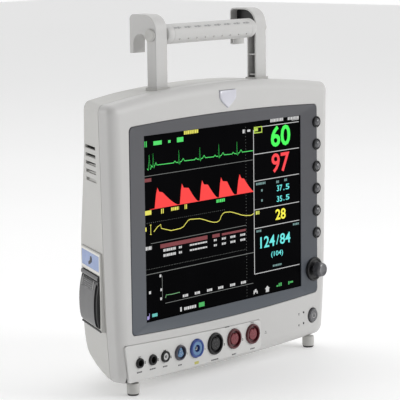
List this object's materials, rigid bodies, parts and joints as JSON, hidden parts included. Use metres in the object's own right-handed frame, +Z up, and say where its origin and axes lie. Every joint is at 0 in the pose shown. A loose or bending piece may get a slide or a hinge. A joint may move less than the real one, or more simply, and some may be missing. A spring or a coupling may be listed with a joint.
{
  "type": "patient monitor",
  "caption": "Bedside patient monitor: flat screen in a grey case with ports below, soft keys and a knob at the side, a side recorder and a hook-shaped handle.",
  "frame": {"origin": "middle of the footprint box, on the surface that the feet stand on", "axes": "+Z up, +Y from the screen to the back, +X to the right of someone facing the screen"},
  "size_m": [0.3406, 0.116, 0.3686],
  "materials": {
    "shell": "fine moulded texture, light warm grey",
    "panel": "fine moulded texture, pale grey",
    "surround": "satin dark blue-grey",
    "black": "satin black",
    "cap": "glossy dark grey",
    "screen": null,
    "rubber": "matte black",
    "steel": "zinc plated",
    "board": "green solder mask",
    "blue": "satin blue",
    "red": "satin dark red",
    "grey": "satin dark grey-violet",
    "lens": "translucent pale lilac",
    "door": "satin dark grey",
    "paper": "matte paper"
  },
  "bodies": {
    "case": {"air_pump": "steel", "alarm_lens": "lens", "battery_pack": "black", "connector_panel": "panel", "cuff_air_port": "blue", "ecg_port": "black", "encoder_body": "black", "foot_front_left": "rubber", "foot_front_right": "rubber", "foot_rear_left": "rubber", "foot_rear_right": "rubber", "front_housing": "shell", "handle_sleeve_left": "shell", "handle_sleeve_right": "shell", "knob_base": "black", "lcd_bracket": "steel", "lcd_panel": "black", "main_board": "board", "mains_inlet": "black", "menu_key_strip": "black", "output_port": "black", "oxygen_port": "grey", "parameter_board": "board", "power_supply": "steel", "pressure_port_1": "red", "pressure_port_2": "red", "rear_cover": "shell", "rear_housing": "shell", "recorder_bezel": "black", "recorder_tray": "black", "screen_glass": "screen", "screen_surround": "surround", "speaker": "black", "status_light": "lens", "temperature_jack_1": "black", "temperature_jack_2": "black"},
    "knob_push": {"encoder_shaft": "steel"},
    "knob": {"knob": "cap"},
    "power_button": {"power_button": "cap"},
    "handle": {"handle_arm_left": "shell", "handle_arm_right": "shell", "arm_core_left": "black", "arm_core_right": "black", "grip": "shell", "grip_cap_left": "cap", "grip_cap_right": "cap"},
    "recorder_door": {"recorder_door": "door"},
    "recorder_lever": {"recorder_lever": "black"},
    "platen_roller": {"platen_roller": "rubber"},
    "paper_roll": {"paper_roll": "paper"},
    "battery_door": {"battery_door": "shell"},
    "menu_button_1": {"menu_button_1": "cap"},
    "menu_button_2": {"menu_button_2": "cap"},
    "menu_button_3": {"menu_button_3": "cap"},
    "menu_button_4": {"menu_button_4": "cap"},
    "menu_button_5": {"menu_button_5": "cap"},
    "menu_button_6": {"menu_button_6": "cap"}
  },
  "joints": [
    {"name": "menu_button_1_press", "type": "slide", "parent": "case", "child": "menu_button_1", "axis": [0, 1, 0], "range_m": [0, 0.0015], "stiffness_N_per_m": 300},
    {"name": "menu_button_2_press", "type": "slide", "parent": "case", "child": "menu_button_2", "axis": [0, 1, 0], "range_m": [0, 0.0015], "stiffness_N_per_m": 300},
    {"name": "menu_button_3_press", "type": "slide", "parent": "case", "child": "menu_button_3", "axis": [0, 1, 0], "range_m": [0, 0.0015], "stiffness_N_per_m": 300},
    {"name": "menu_button_4_press", "type": "slide", "parent": "case", "child": "menu_button_4", "axis": [0, 1, 0], "range_m": [0, 0.0015], "stiffness_N_per_m": 300},
    {"name": "menu_button_5_press", "type": "slide", "parent": "case", "child": "menu_button_5", "axis": [0, 1, 0], "range_m": [0, 0.0015], "stiffness_N_per_m": 300},
    {"name": "menu_button_6_press", "type": "slide", "parent": "case", "child": "menu_button_6", "axis": [0, 1, 0], "range_m": [0, 0.0015], "stiffness_N_per_m": 300},
    {"name": "power_button_press", "type": "slide", "parent": "case", "child": "power_button", "axis": [0, 1, 0], "range_m": [0, 0.0015], "stiffness_N_per_m": 400},
    {"name": "knob_press", "type": "slide", "parent": "case", "child": "knob_push", "axis": [0, 1, 0], "range_m": [0, 0.0008], "stiffness_N_per_m": 800},
    {"name": "knob_turn", "type": "hinge", "parent": "knob_push", "child": "knob", "pos_m": [0.1425, -0.046, 0.08595], "axis": [0, -1, 0], "continuous": true},
    {"name": "handle_slide", "type": "slide", "parent": "case", "child": "handle", "axis": [0, 0, 1], "range_m": [-0.03, 0]},
    {"name": "recorder_door_hinge", "type": "hinge", "parent": "case", "child": "recorder_door", "pos_m": [-0.14999, 0.00641, 0.06785], "axis": [-0.5, -0.866, 0], "range_deg": [0, 75]},
    {"name": "recorder_lever_tilt", "type": "hinge", "parent": "recorder_door", "child": "recorder_lever", "pos_m": [-0.14792, 0.00521, 0.11375], "axis": [-0.5, -0.866, 0], "range_deg": [0, 15], "stiffness_Nm_per_rad": 0.05},
    {"name": "platen_spin", "type": "hinge", "parent": "recorder_door", "child": "platen_roller", "pos_m": [-0.14134, 0.00141, 0.10605], "axis": [0.5, 0.866, 0], "continuous": true},
    {"name": "paper_roll_spin", "type": "hinge", "parent": "case", "child": "paper_roll", "pos_m": [-0.13267, -0.00059, 0.08185], "axis": [0.5, 0.866, 0], "continuous": true},
    {"name": "battery_door_hinge", "type": "hinge", "parent": "case", "child": "battery_door", "pos_m": [0.1477, 0.00394, 0.07185], "axis": [-0.5, 0.866, 0], "range_deg": [0, 90]}
  ],
  "couplings": [
    {"joint": "platen_spin", "follows": "paper_roll_spin", "ratio": 2.619}
  ]
}
